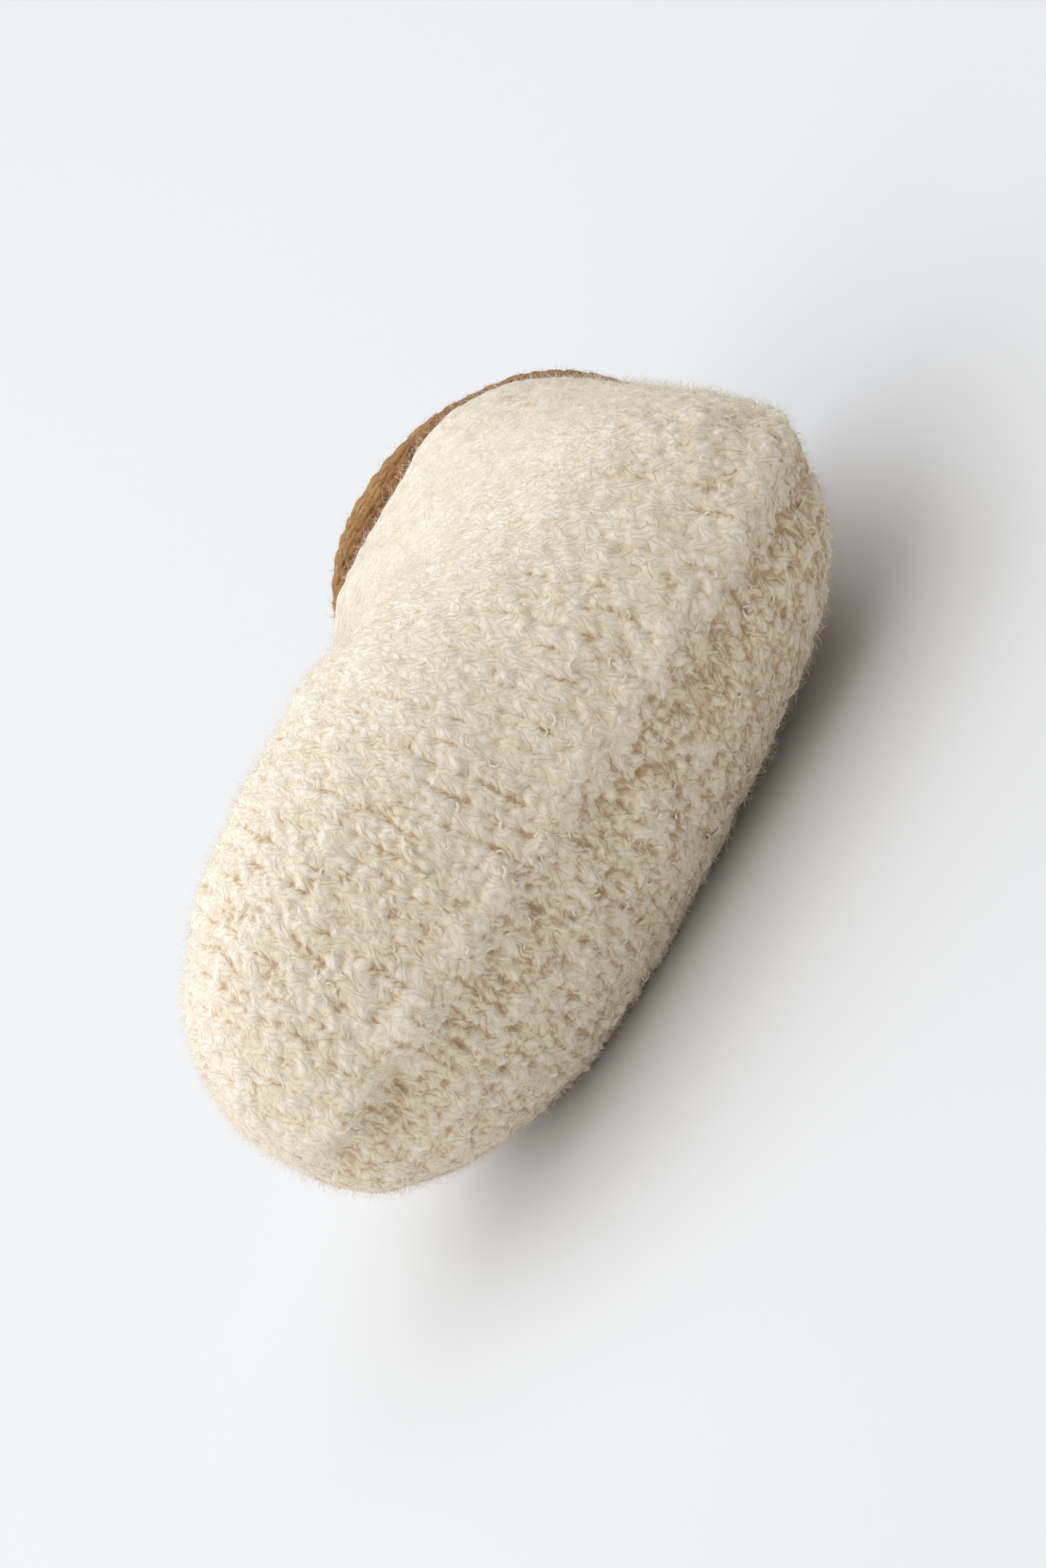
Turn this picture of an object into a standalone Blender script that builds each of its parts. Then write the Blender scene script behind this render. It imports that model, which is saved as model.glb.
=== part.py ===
"""A baby's knitted bootie: a cream wool foot, knitted whole, with a brown band round its opening.

The bootie lies on its right side on the plane z = 0, empty and unbent. Its toe points to -X, its
sole to -Y, its opening to +Y and the left side of the foot to +Z. The origin is under the middle
of the bootie's box. The sections below are worked out in the shoe's own directions, in millimetres:
x from heel to toe, y to the left side and z up from the sole. They are then laid down on the side.
"""
import math
from collections import namedtuple

import bmesh
import bpy
from mathutils import Vector

MM = 0.001

# Driving sizes of the foot
FOOT_LENGTH = 109.4
BALL_WIDTH = 55.0
INSTEP_HEIGHT = 48.5
KNIT_WALL = 3.0

# The gathered seam, a soft ridge in the wall along the middle of the sole
SEAM_HEIGHT = 1.2
SEAM_HALF_WIDTH = 3.0
SEAM_FULL_FROM = 12.0

# The brown band that stands on the foot's rim
BAND_HEIGHT = 8.0
BAND_WALL = 2.4
BAND_INSET = 0.5
BAND_GAP = 0.3
BAND_CROWN = 0.7
BAND_FORWARD_AT_HEEL = 0.2
BAND_BACK_AT_THROAT = 1.4

# How the soft bootie lies: its lean on the floor, and how far its weight flattens the side
LEAN = math.radians(6.2)
PRESS = 1.5

# Points round each section, drawn closer together near the sole seam, and rings along the foot
POINTS_ROUND = 40
CROWDING = 0.35
RINGS_PER_SECTION = 3
BAND_RINGS = 5

CREAM = (0.80, 0.72, 0.58, 1.0)
BROWN = (0.30, 0.17, 0.08, 1.0)
WOOL_ROUGHNESS = 0.95

# Each section is a slanted slice of the foot, from a point on the sole to a point on the top.
# sole_x, top_x: shares of FOOT_LENGTH from the heel. sole_z, top_z: shares of INSTEP_HEIGHT.
# half_width: share of half the BALL_WIDTH. widest: share of the way from sole to top where the
# slice is widest. pinch: how much the sole half narrows to the seam. drift: the seam's own sideways
# wander, in millimetres to the left.
Section = namedtuple("Section", "name sole_x sole_z top_x top_z half_width widest pinch drift")

SECTIONS = (
    Section("toe_tip",     0.998, 0.402, 0.998, 0.402, 0.000, 0.50, 0.10,  0.0),
    Section("toe_pucker",  0.995, 0.330, 0.994, 0.480, 0.170, 0.50, 0.10,  0.6),
    Section("toe_end",     0.986, 0.245, 0.984, 0.570, 0.315, 0.50, 0.10,  1.6),
    Section("toe_round",   0.956, 0.124, 0.949, 0.715, 0.545, 0.51, 0.15,  2.0),
    Section("toe_cap",     0.896, 0.041, 0.885, 0.820, 0.750, 0.51, 0.20,  2.2),
    Section("toe_joint",   0.800, 0.008, 0.796, 0.890, 0.910, 0.49, 0.22,  1.8),
    Section("ball",        0.673, 0.000, 0.709, 0.930, 0.990, 0.47, 0.25,  1.0),
    Section("waist",       0.523, 0.008, 0.645, 0.945, 1.005, 0.47, 0.25,  0.4),
    Section("arch",        0.364, 0.012, 0.607, 0.955, 0.990, 0.51, 0.25,  0.0),
    Section("heel_front",  0.218, 0.008, 0.586, 0.965, 0.942, 0.52, 0.30, -0.3),
    Section("heel_seat",   0.091, 0.033, 0.573, 0.978, 0.900, 0.53, 0.35, -0.6),
    Section("heel_corner", 0.022, 0.136, 0.564, 0.992, 0.878, 0.54, 0.42, -0.6),
    Section("heel_back",   0.010, 0.371, 0.560, 1.005, 0.868, 0.55, 0.45, -0.4),
    Section("ankle_back",  0.026, 0.690, 0.557, 1.018, 0.865, 0.55, 0.36, -0.2),
    Section("rim",         0.046, 1.025, 0.555, 1.030, 0.872, 0.54, 0.24,  0.0),
)


def clear_scene():
    """Remove every object that the file opened with."""
    for obj in list(bpy.data.objects):
        bpy.data.objects.remove(obj, do_unlink=True)


def wool(name, colour):
    """A matt woollen material of one colour."""
    material = bpy.data.materials.new(name)
    material.use_nodes = True
    shader = material.node_tree.nodes["Principled BSDF"]
    shader.inputs["Base Color"].default_value = colour
    shader.inputs["Roughness"].default_value = WOOL_ROUGHNESS
    shader.inputs["Metallic"].default_value = 0.0
    return material


def section_in_mm(section):
    """A section's columns as sizes: the shares multiplied by the foot's driving sizes."""
    return Section(
        section.name,
        section.sole_x * FOOT_LENGTH,
        section.sole_z * INSTEP_HEIGHT,
        section.top_x * FOOT_LENGTH,
        section.top_z * INSTEP_HEIGHT,
        section.half_width * BALL_WIDTH / 2,
        section.widest,
        section.pinch,
        section.drift,
    )


def hermite(start, end, start_slope, end_slope, share):
    """The cubic between two values that leaves and arrives with the given slopes."""
    square, cube = share ** 2, share ** 3
    return (
        start * (2 * cube - 3 * square + 1)
        + start_slope * (cube - 2 * square + share)
        + end * (3 * square - 2 * cube)
        + end_slope * (cube - square)
    )


def between_sections(sections, index, share):
    """A section part of the way from one row of the table to the next, on a smooth curve."""
    last = len(sections) - 1
    values = []
    for column in range(1, len(Section._fields)):
        here, there = sections[index][column], sections[index + 1][column]
        before = sections[max(index - 1, 0)][column]
        after = sections[min(index + 2, last)][column]
        leaving = (there - before) / 2 if index > 0 else there - here
        arriving = (after - here) / 2 if index + 1 < last else there - here
        values.append(hermite(here, there, leaving, arriving, share))
    return Section(sections[index].name, *values)


def turns():
    """Angles round a section: 0 at the sole seam, then the left side, the top and the right side."""
    steady = [2 * math.pi * k / POINTS_ROUND for k in range(POINTS_ROUND)]
    return [angle - CROWDING * math.sin(angle) for angle in steady]


def section_point(section, turn, seam_height):
    """The point of a section at one angle, in the shoe's directions."""
    drop, side = math.cos(turn), math.sin(turn)
    lower_half = drop > 0
    rise = section.widest * (1 - drop) if lower_half else section.widest - (1 - section.widest) * drop
    reach = section.half_width * side
    seam = 0.0
    if lower_half:
        reach *= 1 - section.pinch * (1 - abs(side)) ** 2
        seam = seam_height * math.exp(-((reach / SEAM_HALF_WIDTH) ** 2))
        reach += section.drift * drop ** 2
    slice_x = section.top_x - section.sole_x
    slice_z = section.top_z - section.sole_z
    slice_length = max(math.hypot(slice_x, slice_z), MM)
    rise -= seam / slice_length
    return Vector((section.sole_x + slice_x * rise, reach, section.sole_z + slice_z * rise))


def foot_rings():
    """The outside of the knitted foot, ring by ring from the toe to the rim."""
    sections = [section_in_mm(section) for section in SECTIONS]
    rings = []
    for index in range(len(sections) - 1):
        for step in range(RINGS_PER_SECTION):
            section = between_sections(sections, index, step / RINGS_PER_SECTION)
            seam_height = SEAM_HEIGHT * min(section.half_width / SEAM_FULL_FROM, 1)
            rings.append([section_point(section, turn, seam_height) for turn in turns()])
    rings.append([section_point(sections[-1], turn, SEAM_HEIGHT) for turn in turns()])
    return rings


def band_rings():
    """The outside of the brown band, from just above the rim to its soft upper edge."""
    rim = section_in_mm(SECTIONS[-1])
    rings = []
    for ring in range(BAND_RINGS):
        share = ring / (BAND_RINGS - 1)
        lift = BAND_GAP + BAND_HEIGHT * share
        inset = BAND_INSET - BAND_CROWN * math.sin(math.pi * share)
        section = rim._replace(
            sole_x=rim.sole_x + inset + BAND_FORWARD_AT_HEEL * share,
            sole_z=rim.sole_z + lift,
            top_x=rim.top_x - inset - BAND_BACK_AT_THROAT * share,
            top_z=rim.top_z + lift,
            half_width=rim.half_width - inset,
            pinch=rim.pinch * (1 - share),
        )
        rings.append([section_point(section, turn, SEAM_HEIGHT * (1 - share)) for turn in turns()])
    return rings


def lay_down(point):
    """A point in the shoe's directions, turned so that the bootie lies on its right side."""
    up = point.y * math.cos(LEAN) - point.z * math.sin(LEAN)
    back = point.y * math.sin(LEAN) + point.z * math.cos(LEAN)
    return Vector((-point.x, back, up))


def rest_on_floor(pieces):
    """Lay the pieces down, set their box over the origin and flatten what would press into the floor."""
    laid = [[[lay_down(point) for point in ring] for ring in rings] for rings in pieces]
    points = [point for rings in laid for ring in rings for point in ring]
    low = Vector([min(point[axis] for point in points) for axis in range(3)])
    high = Vector([max(point[axis] for point in points) for axis in range(3)])
    middle = (low + high) / 2
    for point in points:
        point.x -= middle.x
        point.y -= middle.y
        point.z = max(point.z - low.z - PRESS, 0.0)
    return laid


def loft(name, rings, wall, material, collection):
    """A hollow knitted piece: a skin through the rings with its wall added inwards."""
    shape = bmesh.new()
    closed_tip = rings[0][0] == rings[0][1]
    lines = []
    for ring in rings:
        points = ring[:1] if closed_tip and ring is rings[0] else ring
        lines.append([shape.verts.new(point * MM) for point in points])
    for line, following in zip(lines, lines[1:]):
        for k in range(POINTS_ROUND):
            after = (k + 1) % POINTS_ROUND
            if len(line) == 1:
                shape.faces.new((line[0], following[k], following[after]))
            else:
                shape.faces.new((line[k], following[k], following[after], line[after]))
    bmesh.ops.recalc_face_normals(shape, faces=shape.faces)
    mesh = bpy.data.meshes.new(name)
    shape.to_mesh(mesh)
    shape.free()
    mesh.shade_smooth()
    mesh.materials.append(material)
    piece = bpy.data.objects.new(name, mesh)
    collection.objects.link(piece)
    thickness = piece.modifiers.new("wall", "SOLIDIFY")
    thickness.thickness = wall * MM
    thickness.offset = -1
    return piece


clear_scene()
bootie = bpy.data.collections.new("bootie")
bpy.context.scene.collection.children.link(bootie)
foot, band = rest_on_floor([foot_rings(), band_rings()])
loft("knit_foot", foot, KNIT_WALL, wool("cream_wool", CREAM), bootie)
loft("collar_band", band, BAND_WALL, wool("brown_wool", BROWN), bootie)
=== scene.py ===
"""Looks of the knitted bootie: cream wool foot, brown collar band, fuzz, floor, light and camera."""
import math

import bpy
import numpy as np
from mathutils import Matrix, Vector


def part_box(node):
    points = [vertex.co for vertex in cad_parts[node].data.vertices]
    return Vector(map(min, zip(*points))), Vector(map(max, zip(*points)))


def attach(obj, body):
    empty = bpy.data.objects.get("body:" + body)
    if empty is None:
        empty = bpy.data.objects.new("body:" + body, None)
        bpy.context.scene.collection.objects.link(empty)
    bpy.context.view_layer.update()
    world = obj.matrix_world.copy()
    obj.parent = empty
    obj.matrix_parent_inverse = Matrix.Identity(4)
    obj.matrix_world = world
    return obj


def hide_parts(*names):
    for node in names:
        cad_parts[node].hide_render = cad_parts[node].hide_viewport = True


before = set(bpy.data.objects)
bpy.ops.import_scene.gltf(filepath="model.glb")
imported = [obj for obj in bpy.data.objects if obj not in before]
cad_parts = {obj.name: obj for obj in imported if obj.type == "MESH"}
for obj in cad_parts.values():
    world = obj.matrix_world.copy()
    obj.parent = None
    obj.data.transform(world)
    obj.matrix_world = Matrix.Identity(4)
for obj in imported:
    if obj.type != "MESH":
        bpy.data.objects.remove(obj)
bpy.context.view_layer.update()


# The foot: one piece of cream boucle wool, knitted whole with its wales running round the foot, and
# gathered along the middle of the sole. It is a hollow shell about 3 mm thick, soft and springy,
# with a plain purl face inside. Its sections are those of the solid that it stands for.
MM = 0.001
FULL_TURN = 2 * math.pi
FOOT_LENGTH = 109.4
BALL_WIDTH = 55.0
INSTEP_HEIGHT = 48.5
KNIT_WALL = 3.0
SEAM_HEIGHT = 1.2
SEAM_HALF_WIDTH = 3.0
SEAM_FULL_FROM = 12.0
THINNEST_SLICE = 0.001
LEAN = math.radians(6.2)
SECTION_COLUMNS = ("sole_x", "sole_z", "top_x", "top_z", "half_width", "widest", "pinch", "drift")
SECTIONS = {
    "toe_tip":     (0.998, 0.402, 0.998, 0.402, 0.000, 0.50, 0.10, 0.0),
    "toe_pucker":  (0.995, 0.330, 0.994, 0.480, 0.170, 0.50, 0.10, 0.6),
    "toe_end":     (0.986, 0.245, 0.984, 0.570, 0.315, 0.50, 0.10, 1.6),
    "toe_round":   (0.956, 0.124, 0.949, 0.715, 0.545, 0.51, 0.15, 2.0),
    "toe_cap":     (0.896, 0.041, 0.885, 0.820, 0.750, 0.51, 0.20, 2.2),
    "toe_joint":   (0.800, 0.008, 0.796, 0.890, 0.910, 0.49, 0.22, 1.8),
    "ball":        (0.673, 0.000, 0.709, 0.930, 0.990, 0.47, 0.25, 1.0),
    "waist":       (0.523, 0.008, 0.645, 0.945, 1.005, 0.47, 0.25, 0.4),
    "arch":        (0.364, 0.012, 0.607, 0.955, 0.990, 0.51, 0.25, 0.0),
    "heel_front":  (0.218, 0.008, 0.586, 0.965, 0.942, 0.52, 0.30, -0.3),
    "heel_seat":   (0.091, 0.033, 0.573, 0.978, 0.900, 0.53, 0.35, -0.6),
    "heel_corner": (0.022, 0.136, 0.564, 0.992, 0.878, 0.54, 0.42, -0.6),
    "heel_back":   (0.010, 0.371, 0.560, 1.005, 0.868, 0.55, 0.45, -0.4),
    "ankle_back":  (0.026, 0.690, 0.557, 1.018, 0.865, 0.55, 0.36, -0.2),
    "rim":         (0.046, 1.025, 0.555, 1.030, 0.872, 0.54, 0.24, 0.0),
}
RIM = len(SECTIONS) - 1
COLUMN_SIZES = (FOOT_LENGTH, INSTEP_HEIGHT, FOOT_LENGTH, INSTEP_HEIGHT, BALL_WIDTH / 2, 1, 1, 1)


def section_at(station):
    """The section's columns in millimetres at any place along the foot, from 0 at the toe to RIM."""
    rows = np.array(list(SECTIONS.values())) * COLUMN_SIZES
    slopes = np.gradient(rows, axis=0)
    index = np.clip(np.floor(station).astype(int), 0, RIM - 1)
    share = (station - index)[..., None]
    square, cube = share ** 2, share ** 3
    values = rows[index] * (2 * cube - 3 * square + 1) + slopes[index] * (cube - 2 * square + share)
    values += rows[index + 1] * (3 * square - 2 * cube) + slopes[index + 1] * (cube - square)
    return {name: values[..., k] for k, name in enumerate(SECTION_COLUMNS)}


def soft_rise(distance, half_width):
    """A rounded rise of height one, highest where the distance is nothing."""
    return np.exp(-((distance / half_width) ** 2))


def section_points(section, turn, seam_height):
    """Points round a section, in the shoe's directions: x to the toe, y to the left, z up from the sole."""
    drop, side = np.cos(turn), np.sin(turn)
    lower_half = drop > 0
    widest = section["widest"]
    rise = np.where(lower_half, widest * (1 - drop), widest - (1 - widest) * drop)
    narrowed = np.where(lower_half, 1 - section["pinch"] * (1 - np.abs(side)) ** 2, 1)
    reach = section["half_width"] * side * narrowed
    seam = np.where(lower_half, seam_height * soft_rise(reach, SEAM_HALF_WIDTH), 0)
    reach = reach + np.where(lower_half, section["drift"] * drop ** 2, 0)
    slice_x = section["top_x"] - section["sole_x"]
    slice_z = section["top_z"] - section["sole_z"]
    rise = rise - seam / np.maximum(np.hypot(slice_x, slice_z), THINNEST_SLICE)
    return np.stack([section["sole_x"] + slice_x * rise, reach, section["sole_z"] + slice_z * rise], -1)


def foot_points(station, turn):
    """The smooth outside of the foot, in the shoe's directions."""
    section = section_at(station)
    seam_height = SEAM_HEIGHT * np.minimum(section["half_width"] / SEAM_FULL_FROM, 1)
    return section_points(section, turn, seam_height)


def lay_down(points):
    """Shoe directions turned so that the bootie lies on its right side, in metres, not yet in place."""
    x, y, z = np.moveaxis(points, -1, 0)
    back = y * math.sin(LEAN) + z * math.cos(LEAN)
    up = y * math.cos(LEAN) - z * math.sin(LEAN)
    return np.stack([-x, back, up], -1) * MM


MEASURED_STATIONS = 211
MEASURED_TURNS = 241


def place_of_foot():
    """The move that sets the laid foot exactly where its solid lies."""
    low, high = (np.array(corner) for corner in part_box("knit_foot"))
    station = np.linspace(0, RIM, MEASURED_STATIONS)[:, None]
    turn = np.linspace(0, FULL_TURN, MEASURED_TURNS)[None, :]
    laid = lay_down(foot_points(station, turn)).reshape(-1, 3)
    middle_x = (low[0] + high[0] - laid[:, 0].min() - laid[:, 0].max()) / 2
    return np.array([middle_x, low[1] - laid[:, 1].min(), high[2] - laid[:, 2].max()])


FOOT_PLACE = place_of_foot()


def lumps(points, strength, size, seed):
    """Smooth random values up to a strength either way, over points in metres, in lumps of one size in mm.

    Each corner of a cell has a value of its own, mixed from its three whole numbers by large odd factors.
    """
    cell = points / (size * MM) + 1000.0 + seed * 17.31
    corner = np.floor(cell).astype(np.int64)
    share = cell - corner
    share = share * share * (3 - 2 * share)
    total = np.zeros(points.shape[:-1])
    for step in np.ndindex(2, 2, 2):
        key = corner + np.array(step)
        mixed = (key[..., 0] * 73856093) ^ (key[..., 1] * 19349663) ^ (key[..., 2] * 83492791)
        mixed = (mixed ^ (mixed >> 13)) * 1274126177 & 0x7FFFFFFF
        mixed = (mixed ^ (mixed >> 16)) * 668265263 & 0x7FFFFFFF
        weight = np.prod(np.where(np.array(step), share, 1 - share), axis=-1)
        total += weight * (mixed / 0x3FFFFFFF - 1)
    return strength * total


FINE_STATIONS = 841
FINE_TURNS = 721
SOLE_AND_SIDES = np.radians(np.arange(-100, 101, 20))
SHORTEST_RING = 1e-6
SHORTEST_VECTOR = 1e-12


def even_stations(count):
    """Stations from toe to rim whose rings lie about equally far apart on the foot's sole and sides."""
    fine = np.linspace(0, RIM, FINE_STATIONS)
    points = foot_points(fine[:, None], SOLE_AND_SIDES[None, :])
    steps = np.linalg.norm(np.diff(points, axis=0), axis=-1).mean(1)
    travelled = np.concatenate([[0], np.cumsum(steps)])
    return np.interp(np.linspace(0, travelled[-1], count), travelled, fine)


def even_turns(station, shares):
    """For each station, the turns at the given shares of its ring's length, and that length."""
    fine = np.linspace(0, FULL_TURN, FINE_TURNS)
    points = foot_points(station[:, None], fine[None, :])
    steps = np.linalg.norm(np.diff(points, axis=1), axis=-1)
    travelled = np.concatenate([np.zeros((len(station), 1)), np.cumsum(steps, axis=1)], axis=1)
    length = np.maximum(travelled[:, -1], SHORTEST_RING)
    whole, part = np.floor(shares), shares - np.floor(shares)
    turn = np.array([np.interp(part * total, run, fine) for run, total in zip(travelled, length)])
    return turn + whole * FULL_TURN, length


def unit(vectors):
    """Vectors of length one."""
    return vectors / np.maximum(np.linalg.norm(vectors, axis=-1, keepdims=True), SHORTEST_VECTOR)


def smooth_normals(grid):
    """Outward normals of a closed-round grid of points that runs from the toe's tip to the opening."""
    along = np.gradient(grid, axis=0)
    round_about = np.concatenate([grid[:, -2:-1], grid, grid[:, 1:2]], axis=1)
    across = (round_about[:, 2:] - round_about[:, :-2]) / 2
    normal = unit(np.cross(along, across))
    normal[0] = (-1, 0, 0)
    return normal


# The foot's surface as a grid: rows from the toe to the rim, and columns round the foot that start at
# its right side and lie closer on the sole. Lengths are in millimetres, and points in metres.
FOOT_ROWS = 470
FOOT_COLUMNS = 385
SEAM_COLUMN = FOOT_COLUMNS // 4
HALF_COLUMNS = FOOT_COLUMNS // 2
SOLE_CROWDING = 0.3
NARROWEST_COLUMN = 0.01
foot_station = even_stations(FOOT_ROWS)
ring_share = (np.arange(FOOT_COLUMNS) - SEAM_COLUMN) / (FOOT_COLUMNS - 1)
ring_share = ring_share - SOLE_CROWDING * np.sin(FULL_TURN * ring_share) / FULL_TURN
foot_turn, ring_length = even_turns(foot_station, ring_share)
smooth_foot = lay_down(foot_points(foot_station[:, None], foot_turn)) + FOOT_PLACE
foot_normal = smooth_normals(smooth_foot)
foot_round = unit(np.gradient(smooth_foot, axis=1))
from_seam = np.where(ring_share <= 0.5, ring_share, ring_share - 1) * ring_length[:, None]
row_step = np.linalg.norm(np.gradient(smooth_foot, axis=0), axis=-1) / MM
column_step = np.maximum(ring_length[:, None] * np.gradient(ring_share), NARROWEST_COLUMN)
sole_line = np.concatenate([[0], np.cumsum(row_step[:-1, SEAM_COLUMN])])
along_sole = sole_line[:, None]
row_gap = row_step / np.gradient(sole_line)[:, None]


# The foot's stitches: each is a V of two short plump legs of slubby yarn, brushed until they lie like
# small pillows. They stand in columns that run round the foot, and are packed close with soft creases
# between them. Slubs, thicker bits of the yarn, lie among them in any direction.
WALE_WIDTH = 3.2
STITCH_HEIGHT = 1.65
LEG_TURN = 32.0
LEG_TURN_SPREAD = 26.0
LEG_HALF_LENGTH = (0.85, 1.30)
LEG_HALF_WIDTH = (0.50, 0.78)
LEG_RISE = (0.55, 1.00)
LEG_FROM_WALE = 0.25
LEG_WALE_SPREAD = 0.10
LEG_SHARE_SPREAD = 0.0040
LEG_WHITE_SPREAD = 0.14
LEG_BOW_SPREAD = 0.30
SLUB_COUNT = 2400
ROOM_FOR_ALL = 0.75
LEAST_KEPT = 0.10
LEG_REACH = 2.6
LEG_FADES_AT = 2.4
LEAST_ROW_STEP = 0.08
LEAST_COLUMN_STEP = 0.04
FAR_FROM_LEGS = 1.2


def blend_grid(grid, row, column):
    """Values of a grid between its rows and columns."""
    r = np.clip(np.floor(row).astype(int), 0, grid.shape[0] - 2)
    c = np.clip(np.floor(column).astype(int), 0, grid.shape[1] - 2)
    down, over = (row - r), (column - c)
    if grid.ndim == 3:
        down, over = down[..., None], over[..., None]
    upper = grid[r, c] * (1 - over) + grid[r, c + 1] * over
    lower = grid[r + 1, c] * (1 - over) + grid[r + 1, c + 1] * over
    return upper * (1 - down) + lower * down


def soften(grid, times):
    """Average each value of a closed-round grid with its neighbours."""
    for _ in range(times):
        up, down = np.concatenate([grid[:1], grid[:-1]]), np.concatenate([grid[1:], grid[-1:]])
        grid = (up + 2 * grid + down) / 4
        ring = np.concatenate([grid[:, -2:-1], grid, grid[:, 1:2]], axis=1)
        grid = (ring[:, :-2] + 2 * grid + ring[:, 2:]) / 4
    return grid


def random_places(grid, count, random):
    """Rows and columns of places spread evenly over a surface, which is given as a grid of points."""
    corner = grid[:-1, :-1]
    area = np.linalg.norm(np.cross(grid[1:, :-1] - corner, grid[:-1, 1:] - corner), axis=-1)
    pick = random.choice(area.size, count, p=(area / area.sum()).reshape(-1))
    row, column = np.divmod(pick, area.shape[1])
    return row + random.random(count), column + random.random(count)


def closed_round(values):
    """Values in the order of the foot's points, as a grid whose last column repeats its first."""
    grid = values.reshape(FOOT_ROWS, FOOT_COLUMNS)
    grid[:, -1] = grid[:, 0]
    return grid


knit_random = np.random.default_rng(5)
wale_list, share_list = [], []
for wale in range(int(sole_line[-1] / WALE_WIDTH) + 1):
    stitches = max(int(np.interp(wale * WALE_WIDTH, sole_line, ring_length) / STITCH_HEIGHT), 1)
    wale_list.append(np.full(stitches, float(wale)))
    share_list.append((np.arange(stitches) + 0.5 * (wale % 2)) / stitches)
leg_hand = np.repeat([-1.0, 1.0], sum(len(shares) for shares in share_list))
leg_count = len(leg_hand)
leg_wale = np.tile(np.concatenate(wale_list), 2) + leg_hand * LEG_FROM_WALE
leg_wale = leg_wale + knit_random.normal(0, LEG_WALE_SPREAD, leg_count)
leg_share = np.tile(np.concatenate(share_list), 2) + knit_random.normal(0, LEG_SHARE_SPREAD, leg_count)
leg_along = np.clip(leg_wale * WALE_WIDTH, 0, sole_line[-1])
leg_row = np.interp(leg_along, sole_line, np.arange(FOOT_ROWS, dtype=float))
leg_column = ring_share[0] + np.mod(leg_share, 1.0)
leg_column = np.interp(leg_column, ring_share, np.arange(FOOT_COLUMNS, dtype=float))
leg_angle = leg_hand * np.radians(knit_random.normal(LEG_TURN, LEG_TURN_SPREAD, leg_count))
leg_room = blend_grid(row_gap, leg_row, leg_column) / ROOM_FOR_ALL
roomy = knit_random.random(leg_count) < np.clip(leg_room, LEAST_KEPT, 1)
slub_row, slub_column = random_places(smooth_foot, SLUB_COUNT, knit_random)
leg_row = np.concatenate([leg_row[roomy], slub_row])
leg_column = np.concatenate([leg_column[roomy], slub_column])
leg_angle = np.concatenate([leg_angle[roomy], knit_random.uniform(0, math.pi, SLUB_COUNT)])
leg_count = len(leg_row)
leg_middle = blend_grid(smooth_foot, leg_row, leg_column)
leg_normal = unit(blend_grid(foot_normal, leg_row, leg_column))
leg_way = unit(blend_grid(foot_round, leg_row, leg_column))
leg_way = leg_way * np.cos(leg_angle)[:, None] + np.cross(leg_normal, leg_way) * np.sin(leg_angle)[:, None]
leg_aside = np.cross(leg_normal, leg_way)
leg_half_length = knit_random.uniform(*LEG_HALF_LENGTH, leg_count) * MM
leg_half_width = knit_random.uniform(*LEG_HALF_WIDTH, leg_count) * MM
leg_rise = knit_random.uniform(*LEG_RISE, leg_count)
leg_white = knit_random.normal(0, LEG_WHITE_SPREAD, leg_count)
leg_bow = knit_random.normal(0, LEG_BOW_SPREAD, leg_count)

# Each point of the foot finds its nearest leg and the one after it, in half sizes of the legs. Legs that
# reach over about as many rows and columns are taken together.
row_size = np.maximum(blend_grid(row_step, leg_row, leg_column), LEAST_ROW_STEP)
column_size = np.maximum(blend_grid(column_step, leg_row, leg_column), LEAST_COLUMN_STEP)
rows_reached = 2 ** np.ceil(np.log2(np.ceil(LEG_REACH / row_size))).astype(int)
columns_reached = 2 ** np.ceil(np.log2(np.ceil(LEG_REACH / column_size))).astype(int)
place_list, far_list, owner_list = [], [], []
for rows, columns in np.unique(np.stack([rows_reached, columns_reached], 1), axis=0):
    group = np.flatnonzero((rows_reached == rows) & (columns_reached == columns))
    for down in range(-rows, rows + 1):
        for over in range(-columns, columns + 1):
            r = np.round(leg_row[group]).astype(int) + down
            c = np.mod(np.round(leg_column[group]).astype(int) + over, FOOT_COLUMNS - 1)
            on_foot = (r >= 0) & (r < FOOT_ROWS)
            leg, r, c = group[on_foot], r[on_foot], c[on_foot]
            offset = smooth_foot[r, c] - leg_middle[leg]
            u = np.sum(offset * leg_way[leg], axis=1) / leg_half_length[leg]
            v = np.sum(offset * leg_aside[leg], axis=1) / leg_half_width[leg] + leg_bow[leg] * u * u
            far = np.sqrt(u * u + v * v)
            near = far < LEG_FADES_AT
            place_list.append((r * FOOT_COLUMNS + c)[near])
            far_list.append(far[near])
            owner_list.append(leg[near])
every_place, every_far, every_owner = (np.concatenate(part) for part in (place_list, far_list, owner_list))
order = np.lexsort((every_far, every_place))
every_place, every_far, every_owner = every_place[order], every_far[order], every_owner[order]
first = np.flatnonzero(np.concatenate([[True], every_place[1:] != every_place[:-1]]))
second = np.minimum(first + 1, len(every_place) - 1)
crowded = every_place[second] == every_place[first]
nearest = np.full(FOOT_ROWS * FOOT_COLUMNS, FAR_FROM_LEGS)
between = np.full(FOOT_ROWS * FOOT_COLUMNS, FAR_FROM_LEGS)
plump = np.full(FOOT_ROWS * FOOT_COLUMNS, np.mean(LEG_RISE))
white = np.zeros(FOOT_ROWS * FOOT_COLUMNS)
nearest[every_place[first]] = every_far[first]
plump[every_place[first]] = leg_rise[every_owner[first]]
white[every_place[first]] = leg_white[every_owner[first]]
between[every_place[first[crowded]]] = every_far[second[crowded]] - every_far[first[crowded]]
nearest, between, plump, white = (closed_round(part) for part in (nearest, between, plump, white))

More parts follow.
